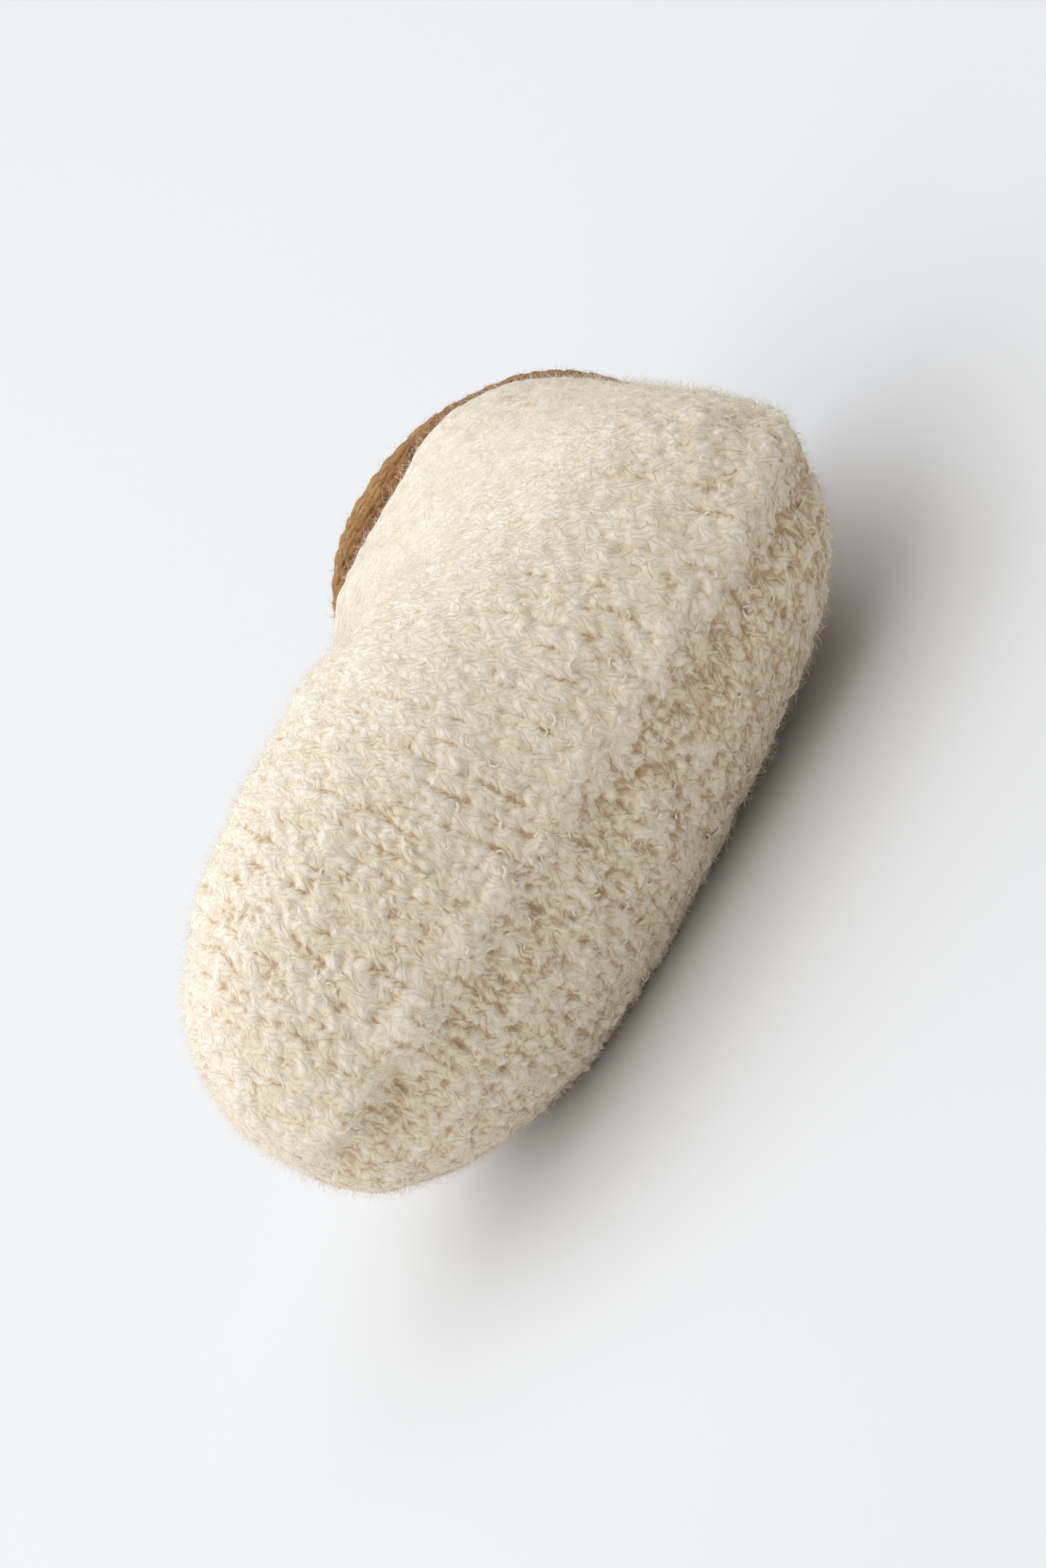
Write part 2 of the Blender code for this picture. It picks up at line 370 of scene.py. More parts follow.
# Where the wool differs: felted smooth at the toe and on the left side towards the heel, and best lit on
# the left. The right side of the sole is painted darker, painted shade where it turns from the light.
# All of it fades out towards the vamp's middle line.
# Places are in millimetres along the sole line or from the seam to the left.
TOE_SMOOTH_TO, TOE_FADE = 34.0, 16.0
FELTED_ASIDE, FELTED_ASIDE_FADE = 4.0, 24.0
FELTED_FROM, FELTED_FADE = 55.0, 40.0
FELTED_AT_BALL, FELTED_AT_TOE = 0.25, 0.7
SHADED_ASIDE, SHADED_ASIDE_FADE = 0.5, 5.0
SHADED_FROM, SHADED_FADE = 60.0, 30.0
SHADED_AT_BALL = 0.55
LEFT_BALL_ASIDE, LEFT_BALL_ASIDE_FADE = 3.0, 5.0
LEFT_BALL_AT, LEFT_BALL_REACH, LEFT_BALL_FADE = 66.0, 40.0, 10.0
LIT_FROM = 7.0
VAMP_FADE = 0.18


def share_of(distance, length):
    """How much of a length a distance covers, from 0 to 1."""
    return np.clip(distance / length, 0, 1)


to_vamp = share_of(0.5 - np.abs(from_seam) / ring_length[:, None], VAMP_FADE)
toe_share = share_of(TOE_SMOOTH_TO - along_sole, TOE_FADE)
# The felted share: smoother knit, and paler there with painted light on the left side and the toe.
felted = share_of(from_seam - FELTED_ASIDE, FELTED_ASIDE_FADE) * to_vamp
felted = felted * (FELTED_AT_BALL + (1 - FELTED_AT_BALL) * share_of(along_sole - FELTED_FROM, FELTED_FADE))
felted = np.maximum(felted, FELTED_AT_TOE * toe_share)
# The shaded share: painted shade on the right side of the sole, strongest towards the heel.
shaded = share_of(-from_seam - SHADED_ASIDE, SHADED_ASIDE_FADE) * to_vamp
shaded = shaded * (SHADED_AT_BALL + (1 - SHADED_AT_BALL) * share_of(along_sole - SHADED_FROM, SHADED_FADE))
left_ball = share_of(from_seam - LEFT_BALL_ASIDE, LEFT_BALL_ASIDE_FADE) * to_vamp
left_ball = left_ball * share_of(LEFT_BALL_REACH - np.abs(along_sole - LEFT_BALL_AT), LEFT_BALL_FADE)
lit_side = 0.5 + (share_of(from_seam + LIT_FROM, LIT_FROM) - 0.5) * to_vamp

# The creases between legs and the tan lines between columns of stitches: dips in the knit, with painted
# shade in them, the warm tan that the wool shows deep in its creases.
# The uneven things are given as a strength, a size in millimetres and a seed.
CREASE_WIDTH = 0.62
CREASE_MEAN, CREASE_LEAST = 0.70, 0.10
CREASE_PATCHES = (0.8, 2.2, 14)
WALE_WANDER = (0.22, 3.6, 15)
WALE_JITTER = (0.12, 1.3, 19)
WALE_LINE_WIDTH = 0.095
WALE_LINE_MEAN, WALE_LINE_MOST = 0.40, 0.9
WALE_LINE_PATCHES = (1.2, 2.8, 16)
WALE_LINE_AT_LEFT_BALL = 0.30
WALE_LINE_LOST_IN_FELT = 0.6
WALE_LINE_ON_VAMP = 0.5
GAP_IN_CREASE, GAP_IN_SHADE, GAP_AT_CROSSING = 0.30, 0.06, 0.8
GAP_IN_WALE_LINE = 0.50
GAP_MOST = 1.2
crease = np.clip(CREASE_MEAN + lumps(smooth_foot, *CREASE_PATCHES), CREASE_LEAST, 1)
crease = crease * soft_rise(between, CREASE_WIDTH)
wale_place = along_sole / WALE_WIDTH + lumps(smooth_foot, *WALE_WANDER) + lumps(smooth_foot, *WALE_JITTER)
wale_line = soft_rise(wale_place - np.floor(wale_place) - 0.5, WALE_LINE_WIDTH) * np.clip(row_gap, 0, 1)
wale_patch = WALE_LINE_MEAN + WALE_LINE_AT_LEFT_BALL * left_ball + lumps(smooth_foot, *WALE_LINE_PATCHES)
wale_line = wale_line * np.clip(wale_patch, 0, WALE_LINE_MOST) * (1 - WALE_LINE_LOST_IN_FELT * felted)
wale_line = wale_line * (WALE_LINE_ON_VAMP + (1 - WALE_LINE_ON_VAMP) * to_vamp)
gap = crease * (GAP_IN_CREASE + GAP_IN_SHADE * shaded + GAP_AT_CROSSING * wale_line)
gap = np.clip(gap + GAP_IN_WALE_LINE * wale_line, 0, GAP_MOST)

# The height of the knit in millimetres: plump legs with creases between them, lower where the wool is
# felted or lies flat on the lit side, and the soft swells and dents of the whole fabric.
FLUFF_COARSE = (0.6, 1.1, 6)
FLUFF_FINE = (0.4, 0.6, 7)
FLUFF_HEIGHT = 0.12
LEG_ROUND_TO = 1.40
CREASE_DEPTH = 0.60
WALE_LINE_DEPTH = 0.28
LEG_SOFTENING, TOE_SOFTENING = 1, 5
HEIGHT_LOST_IN_FELT = 0.55
HEIGHT_LOST_WHERE_LIT = 0.24
SWELLS = (0.35, 7.0, 8)
DENTS = (0.30, 2.3, 20)
DENTS_LOST_IN_FELT = 0.7
fluff = lumps(smooth_foot, *FLUFF_COARSE) + lumps(smooth_foot, *FLUFF_FINE)
pillow = np.sqrt(np.clip(1 - (nearest / LEG_ROUND_TO) ** 2, 0, 1)) - CREASE_DEPTH * crease
pillow = plump * pillow - WALE_LINE_DEPTH * wale_line
pillow = soften(pillow, LEG_SOFTENING) * (1 - toe_share) + soften(pillow, TOE_SOFTENING) * toe_share
knit_height = (pillow + FLUFF_HEIGHT * fluff) * (1 - HEIGHT_LOST_IN_FELT * felted)
knit_height = knit_height * (1 - HEIGHT_LOST_WHERE_LIT * lit_side) + lumps(smooth_foot, *SWELLS)
knit_height = knit_height + lumps(smooth_foot, *DENTS) * (1 - DENTS_LOST_IN_FELT * felted)

# How pale the wool is, from 0 in a gap to 1 on a white puff, as a mean and what each thing adds to it.
# Much of it is painted light and shade: paler where the knit stands proud, on gathered lumps and where
# it is felted, darker in gaps and hollows, at the toe and on the shaded right side. The white of each leg
# and the fluff vary it at random.
PROUD_OVER = 12
PALE_MEAN = 0.60
PALE_IF_PROUD, PALE_IF_PROUD_IN_SHADE = 0.50, 0.08
PAINTED_SHADE_IN_GAP = -0.62
PALE_BY_FLUFF = 0.10
PAINTED_LIGHT_IF_FELTED = 0.18
PALE_IN_SHADE = -0.25
PAINTED_SHADE_AT_TOE = -0.14
WHITE_LOST_WHERE_LIT = 0.2
proud = knit_height - soften(knit_height, PROUD_OVER)
# Paler where the knit stands proud of its neighbours and darker in its gaps: painted light and shade.
puff_share = PALE_MEAN + (PALE_IF_PROUD + PALE_IF_PROUD_IN_SHADE * shaded) * proud + PAINTED_SHADE_IN_GAP * gap
puff_share = puff_share + (1 - WHITE_LOST_WHERE_LIT * lit_side) * soften(white, 1)
# Paler where the wool is felted: painted light on the lit left side towards the heel and at the toe.
puff_share = puff_share + PALE_BY_FLUFF * fluff + PAINTED_LIGHT_IF_FELTED * felted
# Darker on the right side of the sole and at the toe's end: painted shade.
puff_share = puff_share + PALE_IN_SHADE * shaded + PAINTED_SHADE_AT_TOE * toe_share

# The seam's gathers: lumps of wool on the ridge, hollows beside it where the sole turns away,
# puckers under the toe and a fold at the heel's corner. Millimetres along the sole line from the toe and
# from the seam to the left, their half sizes, and the height.
GATHERS = (
    (124.5, 0.5, 4.5, 3.2, 0.9),
    (115.0, 0.4, 4.0, 2.8, 0.5),
    (106.5, 0.6, 3.4, 2.8, 0.9),
    (98.8, -1.4, 3.0, 2.4, 0.6),
    (90.7, 0.8, 3.2, 2.2, 0.8),
    (82.0, 0.6, 3.0, 2.0, 0.5),
    (73.1, 1.6, 2.6, 2.2, 0.9),
    (64.0, 0.8, 3.0, 2.0, 0.4),
    (55.5, 1.5, 2.4, 2.2, 0.7),
    (48.5, 1.9, 2.2, 2.0, 0.6),
    (42.0, 1.4, 2.6, 2.0, 0.5),
    (35.9, 1.2, 3.2, 2.8, 1.5),
    (26.0, 1.2, 3.0, 2.4, 0.5),
    (20.5, 0.4, 2.4, 2.0, 0.5),
    (118.0, -6.4, 7.0, 4.4, -1.5),
    (106.9, -5.8, 6.0, 4.0, -1.4),
    (97.0, -6.8, 6.0, 3.6, -1.4),
    (87.4, -7.0, 6.5, 3.8, -1.3),
    (71.9, -5.8, 7.0, 3.4, -1.4),
    (57.0, -5.8, 6.0, 3.2, -1.3),
    (48.1, -5.2, 5.0, 3.0, -1.2),
    (38.5, -5.0, 4.0, 2.6, -1.1),
    (29.5, -4.2, 5.0, 3.4, -1.6),
    (23.0, -5.0, 5.0, 3.6, -1.6),
    (16.5, -4.8, 3.8, 3.0, -1.4),
    (121.5, 5.4, 1.3, 3.4, -0.6),
)
PAINTED_LIGHT_ON_LUMPS, PAINTED_SHADE_IN_HOLLOWS = 0.10, 0.07
gathered = np.zeros_like(knit_height)
for along, aside, half_along, half_aside, rise in GATHERS:
    gathered += rise * soft_rise(along_sole - along, half_along) * soft_rise(from_seam - aside, half_aside)
# Paler on the gathered lumps and darker in the hollows beside them: painted light and shade.
puff_share = np.clip(puff_share + np.where(gathered > 0, PAINTED_LIGHT_ON_LUMPS, PAINTED_SHADE_IN_HOLLOWS) * gathered, 0, 1)

# The rim: drawn in where the left side runs straight to the band, and puffed out towards the heel
# and the throat. Millimetres along the rim from the seam to the left, the half width, and how far in.
RIM_DRAWN_IN = (
    (42.8, 9.5, 1.8),
    (19.0, 8.0, -1.0),
    (40.0, 26.0, -0.9),
    (29.0, 6.0, -0.6),
    (60.0, 8.0, -1.2),
)
RIM_FADE = 25.0


def drawn_in(places):
    """How far the opening is drawn in, in millimetres, at each of the foot's columns."""
    return sum(depth * soft_rise(from_seam[-1] - place, half_width) for place, half_width, depth in places)


rim_in = drawn_in(RIM_DRAWN_IN)
rim_fade = np.clip(1 - (sole_line[-1] - along_sole) / RIM_FADE, 0, 1)

# The knit lies with its middle height on the solid's face. The ridge is sunk, since the gathers raise it.
KNIT_SUNK = 0.50
RIDGE_SUNK = 0.9
RIDGE_HALF_WIDTH = 3.2
RIDGE_FROM, RIDGE_FADE = 18.0, 8.0
ridge_share = soft_rise(from_seam, RIDGE_HALF_WIDTH) * share_of(along_sole - RIDGE_FROM, RIDGE_FADE)
relief = knit_height - KNIT_SUNK + gathered - RIDGE_SUNK * ridge_share - rim_in * rim_fade
relief[0], puff_share[0] = relief[0].mean(), puff_share[0].mean()
outer_foot = smooth_foot + foot_normal * relief[..., None] * MM


def mesh_piece(name, points, faces, material):
    """A piece from its points and its faces, which are arrays of quads and of triangles."""
    mesh = bpy.data.meshes.new(name)
    mesh.vertices.add(len(points))
    mesh.vertices.foreach_set("co", points.reshape(-1).astype(np.float32))
    corners = np.concatenate([block.reshape(-1) for block in faces])
    sizes = np.concatenate([np.full(len(block), block.shape[1]) for block in faces])
    mesh.loops.add(len(corners))
    mesh.loops.foreach_set("vertex_index", corners.astype(np.int32))
    mesh.polygons.add(len(sizes))
    mesh.polygons.foreach_set("loop_start", (np.cumsum(sizes) - sizes).astype(np.int32))
    mesh.update(calc_edges=True)
    mesh.shade_smooth()
    mesh.materials.append(material)
    piece = bpy.data.objects.new(name, mesh)
    bpy.context.scene.collection.objects.link(piece)
    return piece


def grid_quads(rows, columns, first):
    """The quads of a grid of points, facing the side from which its rows run down and columns right."""
    corner = (np.arange(rows - 1)[:, None] * columns + np.arange(columns - 1)[None]).reshape(-1) + first
    return np.stack([corner, corner + columns, corner + columns + 1, corner + 1], 1)


def border(rows, columns, first):
    """The edge of a grid from its first point down, across the last row and up again."""
    down = np.arange(rows) * columns
    return first + np.concatenate([down, down[-1] + np.arange(1, columns), down[-2::-1] + columns - 1])


def vector_attribute(piece, name, values):
    """Store three numbers for each point of a piece, for its material to read."""
    attribute = piece.data.attributes.new(name, "FLOAT_VECTOR", "POINT")
    attribute.data.foreach_set("vector", values.reshape(-1).astype(np.float32))


def float_attribute(piece, name, values):
    """Store one number for each point of a piece, for its material to read."""
    attribute = piece.data.attributes.new(name, "FLOAT", "POINT")
    attribute.data.foreach_set("value", values.reshape(-1).astype(np.float32))


MERGE_DISTANCE = 0.000002


def close_poles(piece):
    """Merge the points that meet in one place."""
    bpy.ops.object.select_all(action="DESELECT")
    bpy.context.view_layer.objects.active = piece
    piece.select_set(True)
    bpy.ops.object.mode_set(mode="EDIT")
    bpy.ops.mesh.select_all(action="SELECT")
    bpy.ops.mesh.remove_doubles(threshold=MERGE_DISTANCE)
    bpy.ops.object.mode_set(mode="OBJECT")


WOOL_SPECULAR = 0.15
GAP_TONE, BODY_TONE, PUFF_TONE = 0.08, 0.40, 0.85


def matt_wool(name, roughness, sheen):
    """A new matt material with a soft sheen, still without its colour."""
    material = bpy.data.materials.new(name)
    material.use_nodes = True
    shader = material.node_tree.nodes["Principled BSDF"]
    shader.inputs["Roughness"].default_value = roughness
    shader.inputs["Specular IOR Level"].default_value = WOOL_SPECULAR
    shader.inputs["Sheen Weight"].default_value = sheen
    return material


def attribute_node(material, name):
    """A node that reads what is stored under a name for each point of the piece."""
    node = material.node_tree.nodes.new("ShaderNodeAttribute")
    node.attribute_name = name
    return node


def colour_wool(material, tone, gap, body, puff):
    """Colour a wool by its tone: from painted shade in the gaps, through the yarn's body, to pale puffs."""
    nodes, links = material.node_tree.nodes, material.node_tree.links
    ramp = nodes.new("ShaderNodeValToRGB")
    ramp.color_ramp.elements[0].position = GAP_TONE
    ramp.color_ramp.elements[0].color = (*gap, 1)
    ramp.color_ramp.elements[1].position = PUFF_TONE
    ramp.color_ramp.elements[1].color = (*puff, 1)
    middle = ramp.color_ramp.elements.new(BODY_TONE)
    middle.color = (*body, 1)
    links.new(tone, ramp.inputs["Fac"])
    links.new(ramp.outputs["Color"], nodes["Principled BSDF"].inputs["Base Color"])


# The grain of the wool's material. Scales of noise are in lumps a metre, and wales and courses count
# stitches. A piece with no stitches stored, as the band and the curls, has its grain from the drift alone.
DRIFT_SCALE, FLUFF_SCALE, PATCH_SCALE = 420, 1300, 480
WALE_DRIFT, COURSE_DRIFT = 0.9, 1.8
LEG_SLANT = 3.0
LEGS_A_WALE = 2.0
LEG_UNEVENNESS = 0.85
LEG_STEEPNESS, LEG_ROUNDNESS = 3.0, 0.6
STREAKS_A_WALE, STREAKS_A_COURSE = 2.5, 7.0
LEG_BUMP, STREAK_BUMP, FLUFF_BUMP = 0.45, 0.15, 1.1
BUMP_STRENGTH, BUMP_DISTANCE = 0.75, 0.0003
LEG_TONE, HEIGHT_TONE, PATCH_TONE, FLUFF_TONE = 0.30, 0.75, 0.5, 0.6


def wool_material(name, gap, body, puff, sheen):
    """Matt fuzzy wool: stitch legs with painted shade in the creases, fine fibres along them, a soft sheen.
    """
    material = matt_wool(name, 0.95, sheen)
    nodes, links = material.node_tree.nodes, material.node_tree.links
    shader = nodes["Principled BSDF"]
    shader.inputs["Sheen Roughness"].default_value = 0.6

    def math_node(operation, first, second=0.0, third=0.0):
        node = nodes.new("ShaderNodeMath")
        node.operation = operation
        for socket, value in zip(node.inputs, (first, second, third)):
            if isinstance(value, (int, float)):
                socket.default_value = value
            else:
                links.new(value, socket)
        return node.outputs[0]

    def plus_centred(noise_value, strength, base):
        return math_node("MULTIPLY_ADD", math_node("SUBTRACT", noise_value, 0.5), strength, base)

    def noise(vector, scale, detail, output="Fac"):
        node = nodes.new("ShaderNodeTexNoise")
        node.inputs["Scale"].default_value = scale
        node.inputs["Detail"].default_value = detail
        links.new(vector, node.inputs["Vector"])
        return node.outputs[output]

    def flat_vector(x, y):
        node = nodes.new("ShaderNodeCombineXYZ")
        links.new(x, node.inputs[0])
        links.new(y, node.inputs[1])
        return node.outputs[0]

    place = nodes.new("ShaderNodeTexCoord").outputs["Object"]
    stitch = nodes.new("ShaderNodeSeparateXYZ")
    links.new(attribute_node(material, "stitch").outputs["Vector"], stitch.inputs[0])
    drift = nodes.new("ShaderNodeSeparateXYZ")
    links.new(noise(place, DRIFT_SCALE, 2, "Color"), drift.inputs[0])
    wale = plus_centred(drift.outputs[0], WALE_DRIFT, stitch.outputs[0])
    course = plus_centred(drift.outputs[1], COURSE_DRIFT, stitch.outputs[1])
    slanted = math_node("MULTIPLY_ADD", math_node("PINGPONG", wale, 0.5), LEG_SLANT, course)
    edge = nodes.new("ShaderNodeTexVoronoi")
    edge.voronoi_dimensions = "2D"
    edge.feature = "DISTANCE_TO_EDGE"
    edge.inputs["Scale"].default_value = 1.0
    edge.inputs["Randomness"].default_value = LEG_UNEVENNESS
    links.new(flat_vector(math_node("MULTIPLY", wale, LEGS_A_WALE), slanted), edge.inputs["Vector"])
    pillow = math_node("MINIMUM", math_node("MULTIPLY", edge.outputs["Distance"], LEG_STEEPNESS), 1.0)
    pillow = math_node("POWER", pillow, LEG_ROUNDNESS)
    streak_across = math_node("MULTIPLY", wale, STREAKS_A_WALE)
    streak_along = math_node("MULTIPLY", slanted, STREAKS_A_COURSE)
    streak = noise(flat_vector(streak_across, streak_along), 1.0, 3)
    fluff = noise(place, FLUFF_SCALE, 5)
    patch = noise(place, PATCH_SCALE, 3)
    relief = math_node("MULTIPLY_ADD", pillow, LEG_BUMP, math_node("MULTIPLY", streak, STREAK_BUMP))
    relief = math_node("MULTIPLY_ADD", fluff, FLUFF_BUMP, relief)
    bump = nodes.new("ShaderNodeBump")
    bump.inputs["Strength"].default_value = BUMP_STRENGTH
    bump.inputs["Distance"].default_value = BUMP_DISTANCE
    links.new(relief, bump.inputs["Height"])
    links.new(bump.outputs["Normal"], shader.inputs["Normal"])
    # The tone follows the stored paleness, with painted shade towards each leg's edge, and patches and fluff
    # vary it at random.
    tone = math_node("MULTIPLY", attribute_node(material, "puff").outputs["Fac"], HEIGHT_TONE)
    tone = math_node("MULTIPLY_ADD", pillow, LEG_TONE, tone)
    tone = plus_centred(patch, PATCH_TONE, tone)
    tone = plus_centred(fluff, FLUFF_TONE, tone)
    colour_wool(material, tone, gap, body, puff)
    return material


# The gap colour, a warm tan, is painted shade: the tone of the wool deep in its creases and in shade.
CREAM_GAP = (0.57, 0.395, 0.23)
CREAM_BODY = (0.86, 0.74, 0.56)
CREAM_PUFF = (0.95, 0.88, 0.76)
CREAM_SHEEN = 0.3
cream_wool = wool_material("cream_wool", CREAM_GAP, CREAM_BODY, CREAM_PUFF, CREAM_SHEEN)

# The foot's lip and lining: at the rim the knit turns over in a soft roll, and its plain inner face runs
# down to the toe. The foot is made in two halves, the sole's and the vamp's, which meet at its sides.
LIP_ROWS = 5
LIP_HEIGHT = 0.8
LIP_PALE = 0.5
LINING_ROWS = 60
LINING_STEP = 2
LINING_DENTS = (0.30, 1.8, 9)
LINING_PALE = 0.45


def way_up(grid):
    """The direction in which the last rows of a grid rise."""
    return unit(grid[-1] - grid[-4])


def skin_and_lining(skin, inside, columns):
    """Values for each point of one half of the foot: those of its outside, then those of its lining."""
    outer, inner = skin[:, columns], inside[:, columns[::LINING_STEP]]
    return np.concatenate([part.reshape(-1, *part.shape[2:]) for part in (outer, inner)])


lining_pick = np.linspace(0, FOOT_ROWS - 1, LINING_ROWS).round().astype(int)
lining_dents = lumps(smooth_foot[lining_pick], *LINING_DENTS)
lining_depth = KNIT_WALL + (rim_in * rim_fade)[lining_pick] + lining_dents
lining = smooth_foot[lining_pick] - foot_normal[lining_pick] * lining_depth[..., None] * MM
lining[0] = lining[0].mean(0)
lining_puff = np.clip(LINING_PALE - lining_dents, 0, 1)
lining_normal = -smooth_normals(lining)
lining_normal[0] = (1, 0, 0)
lip_share = np.linspace(0, 1, LIP_ROWS + 1)[1:, None, None]
lip = outer_foot[-1] * (1 - lip_share) + lining[-1] * lip_share
lip = lip + way_up(smooth_foot) * LIP_HEIGHT * MM * np.sin(math.pi * lip_share)
outside = np.concatenate([outer_foot, lip])
outside_puff = np.concatenate([puff_share, np.full((LIP_ROWS, FOOT_COLUMNS), LIP_PALE)])
outside_normal = smooth_normals(outside)
stitch_course = ring_share * ring_length[:, None] / STITCH_HEIGHT
stitch_wale = np.broadcast_to(along_sole / WALE_WIDTH, stitch_course.shape)
stitch_place = np.stack([stitch_wale, stitch_course, np.zeros_like(stitch_course)], -1)
outside_stitch = np.concatenate([stitch_place, np.repeat(stitch_place[-1:], LIP_ROWS, axis=0)])
foot_columns = np.arange(FOOT_COLUMNS)
for label, columns in (("sole", foot_columns[:HALF_COLUMNS + 1]), ("vamp", foot_columns[HALF_COLUMNS:])):
    outer_size = (len(outside), len(columns))
    inner_size = (LINING_ROWS, len(columns[::LINING_STEP]))
    outer_count = outer_size[0] * outer_size[1]
    points = skin_and_lining(outside, lining, columns)
    points[:, 2] = np.maximum(points[:, 2], 0)
    long_edge = border(*outer_size, 0)
    short_edge = border(*inner_size, outer_count)
    down = np.linspace(0, inner_size[0] - 1, outer_size[0])
    across = np.linspace(0, inner_size[1] - 1, outer_size[1])
    beside = [down, down[-1] + across[1:], down[-1] + across[-1] + down[1:]]
    beside = np.round(np.concatenate(beside)).astype(int)
    wall = [np.stack([long_edge[1:], long_edge[:-1], short_edge[beside[:-1]]], 1)]
    moved = beside[1:] != beside[:-1]
    wall.append(np.stack([long_edge[1:], short_edge[beside[:-1]], short_edge[beside[1:]]], 1)[moved])
    faces = [grid_quads(*outer_size, 0), grid_quads(*inner_size, outer_count)[:, ::-1], *wall]
    foot_half = mesh_piece(f"knit_foot_{label}", points, faces, cream_wool)
    knit_faces = len(faces[0]) + len(faces[1])
    foot_half.data.polygons.foreach_set("use_smooth", np.arange(len(foot_half.data.polygons)) < knit_faces)
    float_attribute(foot_half, "puff", skin_and_lining(outside_puff, lining_puff, columns))
    vector_attribute(foot_half, "stitch", skin_and_lining(outside_stitch, stitch_place[lining_pick], columns))
    vector_attribute(foot_half, "normal_there", skin_and_lining(outside_normal, lining_normal, columns))
    close_poles(foot_half)
    normals = np.zeros(3 * len(foot_half.data.vertices), dtype=np.float32)
    foot_half.data.attributes["normal_there"].data.foreach_get("vector", normals)
    foot_half.data.normals_split_custom_set_from_vertices(normals.reshape(-1, 3))
    foot_half.data.attributes.remove(foot_half.data.attributes["normal_there"])
    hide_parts("knit_foot")
    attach(foot_half, "root")


# The curls: small loops of the boucle yarn's effect thread, which spring out of the stitches in every
# direction, each a short bent length of yarn with both ends in the knit.
CURL_COUNT = 700
CURL_CHOICE = 3 * CURL_COUNT
CURL_CHANCE = 0.4
CURL_RADIUS = (0.40, 0.80)
CURL_SPAN = (80.0, 220.0)
CURL_TILT = 0.20
CURL_GROWTH = (0.75, 1.25)
CURL_LIFT = (0.0, 0.25)
CURL_ENDS_SUNK = 0.5
CURL_HALF_WIDTH = (0.12, 0.22)
CURL_PROFILE = np.array([0.7, 1.0, 1.0, 1.0, 0.7])
CURL_BODY_TO, CURL_POINTS_AT = 0.46, 0.5
CURL_SIDES = 4
CURL_PALE, CURL_PAINTED_LIGHT_ON_TOP, CURL_POINT_SHADE_LEVEL, CURL_PALE_SPREAD = 0.66, 0.2, -0.6, 0.12


def yarn_faces(rings, sides):
    """Faces of one short length of yarn: a tube of rings, closed by a point at either end."""
    side = np.arange(sides)
    after = (side + 1) % sides
    tube = []
    for ring in range(rings - 1):
        low, high = ring * sides, (ring + 1) * sides
        tube.append(np.stack([low + side, low + after, high + after, high + side], 1))
    last = (rings - 1) * sides
    ends = np.concatenate([
        np.stack([after, side, np.full(sides, rings * sides)], 1),
        np.stack([last + side, last + after, np.full(sides, rings * sides + 1)], 1),
    ])
    return np.concatenate(tube), ends


def many(faces, count, each):
    """The faces of one thing repeated for many, each with its own points."""
    starts = np.arange(count)[:, None, None] * each
    return [(starts + block[None]).reshape(-1, block.shape[1]) for block in faces]


curl_random = np.random.default_rng(8)
curl_row, curl_column = random_places(smooth_foot, CURL_CHOICE, curl_random)
curl_order = blend_grid(felted, curl_row, curl_column) + CURL_CHANCE * curl_random.random(CURL_CHOICE)
loosest = np.argsort(curl_order)[:CURL_COUNT]
curl_row, curl_column = curl_row[loosest], curl_column[loosest]
curl_middle = blend_grid(smooth_foot, curl_row, curl_column)
curl_normal = unit(blend_grid(foot_normal, curl_row, curl_column))
curl_ground = blend_grid(soften(relief, 4), curl_row, curl_column)[:, None]
curl_axis = unit(curl_normal + CURL_TILT * curl_random.normal(size=(CURL_COUNT, 3)))
curl_first = unit(np.cross(curl_axis, curl_random.normal(size=(CURL_COUNT, 3))))
curl_second = np.cross(curl_axis, curl_first)
curl_radius = curl_random.uniform(*CURL_RADIUS, CURL_COUNT)[:, None, None] * MM
curl_span = np.radians(curl_random.uniform(*CURL_SPAN, CURL_COUNT))[:, None]
curl_reach = np.linspace(-CURL_BODY_TO, CURL_BODY_TO, len(CURL_PROFILE))
curl_reach = np.concatenate([curl_reach, [-CURL_POINTS_AT, CURL_POINTS_AT]])
curl_turn = (curl_span * curl_reach)[..., None]
curl_grow = curl_random.uniform(*CURL_GROWTH, (CURL_COUNT, 1, 1)) ** curl_turn
curl_line = curl_first[:, None] * np.cos(curl_turn) + curl_second[:, None] * np.sin(curl_turn)
curl_line = curl_middle[:, None] + curl_line * curl_radius * curl_grow
curl_height = curl_ground + curl_random.uniform(*CURL_LIFT, (CURL_COUNT, 1))
curl_height = curl_height - CURL_ENDS_SUNK * (curl_reach / CURL_POINTS_AT) ** 2
curl_line = curl_line + curl_normal[:, None] * (curl_height * MM)[..., None]
curl_width = curl_random.uniform(*CURL_HALF_WIDTH, CURL_COUNT)[:, None] * MM * CURL_PROFILE
curl_spine, curl_ends = curl_line[:, :-2], curl_line[:, -2:]
curl_way = unit(np.gradient(curl_spine, axis=1))
curl_side = unit(np.cross(curl_way, curl_normal[:, None]))
curl_up = np.cross(curl_side, curl_way)
curl_angle = FULL_TURN * np.arange(CURL_SIDES) / CURL_SIDES + math.pi / 2
curl_ring = curl_side[:, :, None] * np.cos(curl_angle)[:, None]
curl_ring = curl_ring + curl_up[:, :, None] * np.sin(curl_angle)[:, None]
curl_tube = curl_spine[:, :, None] + curl_ring * curl_width[:, :, None, None]
curl_points = np.concatenate([curl_tube.reshape(CURL_COUNT, -1, 3), curl_ends], axis=1)
curl_points[..., 2] = np.maximum(curl_points[..., 2], 0)
curl_faces = many(yarn_faces(len(CURL_PROFILE), CURL_SIDES), CURL_COUNT, curl_points.shape[1])
curls = mesh_piece("foot_curls", curl_points.reshape(-1, 3), curl_faces, cream_wool)
